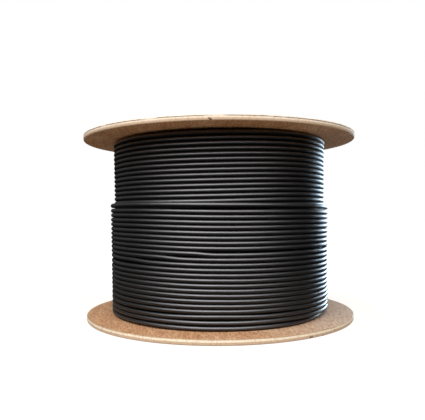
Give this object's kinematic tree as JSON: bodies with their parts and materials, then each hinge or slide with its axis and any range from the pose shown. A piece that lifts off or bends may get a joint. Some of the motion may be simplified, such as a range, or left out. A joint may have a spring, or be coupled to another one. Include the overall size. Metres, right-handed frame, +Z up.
{
  "type": "spool of solar cable",
  "caption": "Plywood-flanged spool on a barrel tube drawn together by tie rods, wound with black single-core solar cable; its outermost layer is part wound.",
  "frame": {"origin": "centre of the bottom flange's underside, where the spool stands on the floor", "axes": "+Z up along the spool's axis; +X to the right and +Y away from the viewer in the picture"},
  "size_m": [0.317, 0.317, 0.2206],
  "materials": {
    "flange_board": "thin three-ply board, pale sanded rim with the plies showing",
    "barrel_tube": "wound brown paper tube",
    "cable_jacket": "satin black extruded jacket",
    "zinc_steel": "bright zinc plate"
  },
  "bodies": {
    "root": {"bottom_flange": "flange_board", "top_flange": "flange_board", "barrel": "barrel_tube", "cable_winding": "cable_jacket", "tie_rod_1": "zinc_steel", "tie_rod_2": "zinc_steel", "tie_rod_3": "zinc_steel", "tie_rod_4": "zinc_steel", "washer_1": "zinc_steel", "washer_2": "zinc_steel", "washer_3": "zinc_steel", "washer_4": "zinc_steel", "nut_1": "zinc_steel", "nut_2": "zinc_steel", "nut_3": "zinc_steel", "nut_4": "zinc_steel"}
  },
  "joints": []
}
